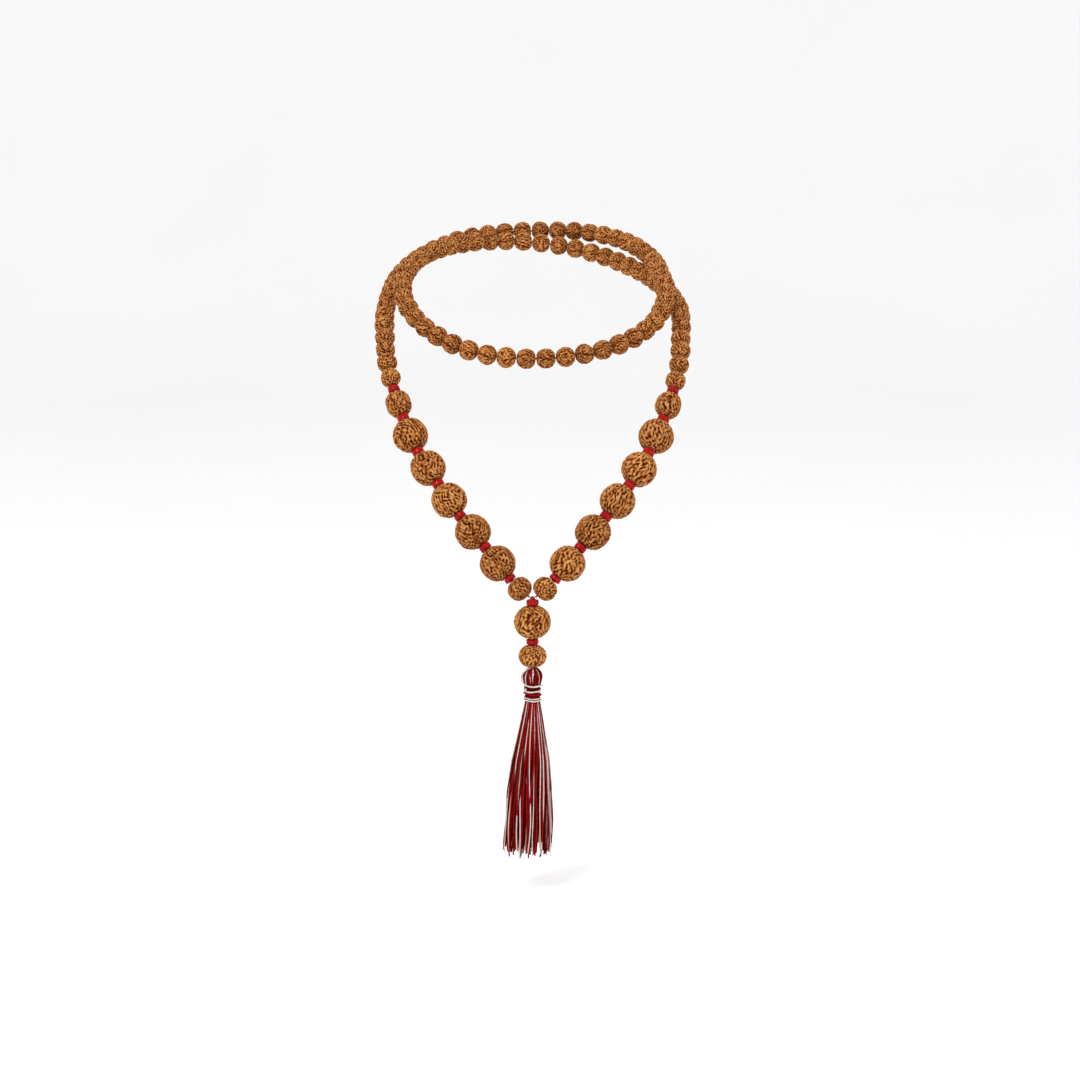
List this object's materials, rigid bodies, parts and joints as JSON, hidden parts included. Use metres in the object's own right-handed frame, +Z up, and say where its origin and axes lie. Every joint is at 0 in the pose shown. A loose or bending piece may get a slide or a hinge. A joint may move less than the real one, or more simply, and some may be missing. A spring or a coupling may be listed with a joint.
{
  "type": "mala prayer beads",
  "caption": "Rudraksha mala worn in two rounds: small seeds round the neck, graded seeds with red glass spacers on the drop, a guru seed, a cap seed and a thread tassel.",
  "frame": {"origin": "where the wearer's nape bears on the inner of the two strands behind the neck", "axes": "+Z up, along the hanging drop and tassel; -Y from the nape to the chest, the side with the guru seed; +X to the viewer's right as the mala is seen from the front"},
  "size_m": [0.1669, 0.2422, 0.3124],
  "materials": {
    "seed": "satin",
    "red_glass": "gloss",
    "cord": "matte",
    "tassel_thread": "matte"
  },
  "bodies": {
    "worn_rounds": {"cord_upper": "cord", "strand_beads_01": "seed", "strand_beads_02": "seed", "strand_beads_03": "seed", "strand_beads_04": "seed", "strand_beads_05": "seed", "strand_beads_06": "seed", "strand_beads_07": "seed", "strand_beads_08": "seed", "strand_beads_09": "seed", "strand_beads_10": "seed", "strand_beads_11": "seed"},
    "front_drop": {"cord_drop_left": "cord", "cord_drop_right": "cord", "drop_beads_left": "seed", "drop_beads_right": "seed", "spacer_left_1": "red_glass", "spacer_left_2": "red_glass", "spacer_left_3": "red_glass", "spacer_left_4": "red_glass", "spacer_left_5": "red_glass", "spacer_left_6": "red_glass", "spacer_left_7": "red_glass", "spacer_right_1": "red_glass", "spacer_right_2": "red_glass", "spacer_right_3": "red_glass", "spacer_right_4": "red_glass", "spacer_right_5": "red_glass", "spacer_right_6": "red_glass", "spacer_right_7": "red_glass"},
    "knot": {"junction_knot": "cord"},
    "pendant": {"spacer_guru": "red_glass", "spacer_cap": "red_glass", "pendant_cord": "cord"},
    "guru": {"guru_bead": "seed"},
    "cap": {"cap_bead": "seed"},
    "tassel": {"tassel_head": "tassel_thread", "tassel_binding": "tassel_thread", "tassel_skirt": "tassel_thread"},
    "junction_bead_left": {"junction_bead_left": "seed"},
    "junction_bead_right": {"junction_bead_right": "seed"},
    "medium_bead_left": {"medium_bead_left": "seed"},
    "medium_bead_right": {"medium_bead_right": "seed"},
    "large_bead_left_1": {"large_bead_left_1": "seed"},
    "large_bead_left_2": {"large_bead_left_2": "seed"},
    "large_bead_left_3": {"large_bead_left_3": "seed"},
    "large_bead_left_4": {"large_bead_left_4": "seed"},
    "large_bead_left_5": {"large_bead_left_5": "seed"},
    "large_bead_right_1": {"large_bead_right_1": "seed"},
    "large_bead_right_2": {"large_bead_right_2": "seed"},
    "large_bead_right_3": {"large_bead_right_3": "seed"},
    "large_bead_right_4": {"large_bead_right_4": "seed"},
    "large_bead_right_5": {"large_bead_right_5": "seed"}
  },
  "joints": [
    {"name": "front_drop_lift", "type": "hinge", "parent": "worn_rounds", "child": "front_drop", "pos_m": [-0.07788, -0.11838, -0.03897], "axis": [-1, -0.0006, 0.0042], "range_deg": [0, 35]},
    {"name": "pendant_nod", "type": "hinge", "parent": "front_drop", "child": "knot", "pos_m": [0, -0.21, -0.169], "axis": [1, 0, 0], "range_deg": [-30, 30]},
    {"name": "pendant_sway", "type": "hinge", "parent": "knot", "child": "pendant", "pos_m": [0, -0.21, -0.169], "axis": [0, 1, 0], "range_deg": [-10, 10]},
    {"name": "tassel_sway", "type": "hinge", "parent": "pendant", "child": "tassel", "pos_m": [0, -0.21, -0.2037], "axis": [0, 1, 0], "range_deg": [-20, 20]},
    {"name": "guru_spin", "type": "hinge", "parent": "pendant", "child": "guru", "pos_m": [0, -0.21, -0.1809], "axis": [0, 0, 1], "continuous": true},
    {"name": "cap_spin", "type": "hinge", "parent": "pendant", "child": "cap", "pos_m": [0, -0.21, -0.19815], "axis": [0, 0, 1], "continuous": true},
    {"name": "junction_bead_left_spin", "type": "hinge", "parent": "front_drop", "child": "junction_bead_left", "pos_m": [-0.00634, -0.20859, -0.16428], "axis": [-0.7303, 0.2191, 0.647], "continuous": true},
    {"name": "junction_bead_right_spin", "type": "hinge", "parent": "front_drop", "child": "junction_bead_right", "pos_m": [0.00634, -0.20859, -0.16428], "axis": [0.7305, 0.2191, 0.6468], "continuous": true},
    {"name": "medium_bead_left_spin", "type": "hinge", "parent": "front_drop", "child": "medium_bead_left", "pos_m": [-0.06865, -0.16015, -0.07619], "axis": [0.294, -0.5615, -0.7734], "continuous": true},
    {"name": "medium_bead_right_spin", "type": "hinge", "parent": "front_drop", "child": "medium_bead_right", "pos_m": [0.06945, -0.16028, -0.07681], "axis": [-0.2967, -0.5652, -0.7698], "continuous": true},
    {"name": "large_bead_left_1_spin", "type": "hinge", "parent": "front_drop", "child": "large_bead_left_1", "pos_m": [-0.06229, -0.17045, -0.0912], "axis": [0.3759, -0.5112, -0.7729], "continuous": true},
    {"name": "large_bead_left_2_spin", "type": "hinge", "parent": "front_drop", "child": "large_bead_left_2", "pos_m": [-0.053, -0.18057, -0.10677], "axis": [0.4993, -0.4626, -0.7326], "continuous": true},
    {"name": "large_bead_left_3_spin", "type": "hinge", "parent": "front_drop", "child": "large_bead_left_3", "pos_m": [-0.04219, -0.18962, -0.12206], "axis": [0.5436, -0.4077, -0.7337], "continuous": true},
    {"name": "large_bead_left_4_spin", "type": "hinge", "parent": "front_drop", "child": "large_bead_left_4", "pos_m": [-0.0301, -0.19747, -0.13703], "axis": [0.6116, -0.3486, -0.7102], "continuous": true},
    {"name": "large_bead_left_5_spin", "type": "hinge", "parent": "front_drop", "child": "large_bead_left_5", "pos_m": [-0.01743, -0.20404, -0.15214], "axis": [0.6073, -0.2851, -0.7416], "continuous": true},
    {"name": "large_bead_right_1_spin", "type": "hinge", "parent": "front_drop", "child": "large_bead_right_1", "pos_m": [0.06286, -0.17067, -0.09167], "axis": [-0.3801, -0.5171, -0.7669], "continuous": true},
    {"name": "large_bead_right_2_spin", "type": "hinge", "parent": "front_drop", "child": "large_bead_right_2", "pos_m": [0.05401, -0.18096, -0.10741], "axis": [-0.4745, -0.4685, -0.7452], "continuous": true},
    {"name": "large_bead_right_3_spin", "type": "hinge", "parent": "front_drop", "child": "large_bead_right_3", "pos_m": [0.04291, -0.18987, -0.12252], "axis": [-0.5821, -0.3939, -0.7114], "continuous": true},
    {"name": "large_bead_right_4_spin", "type": "hinge", "parent": "front_drop", "child": "large_bead_right_4", "pos_m": [0.03041, -0.19758, -0.13725], "axis": [-0.615, -0.3467, -0.7082], "continuous": true},
    {"name": "large_bead_right_5_spin", "type": "hinge", "parent": "front_drop", "child": "large_bead_right_5", "pos_m": [0.01757, -0.20408, -0.15224], "axis": [-0.6211, -0.281, -0.7317], "continuous": true}
  ]
}
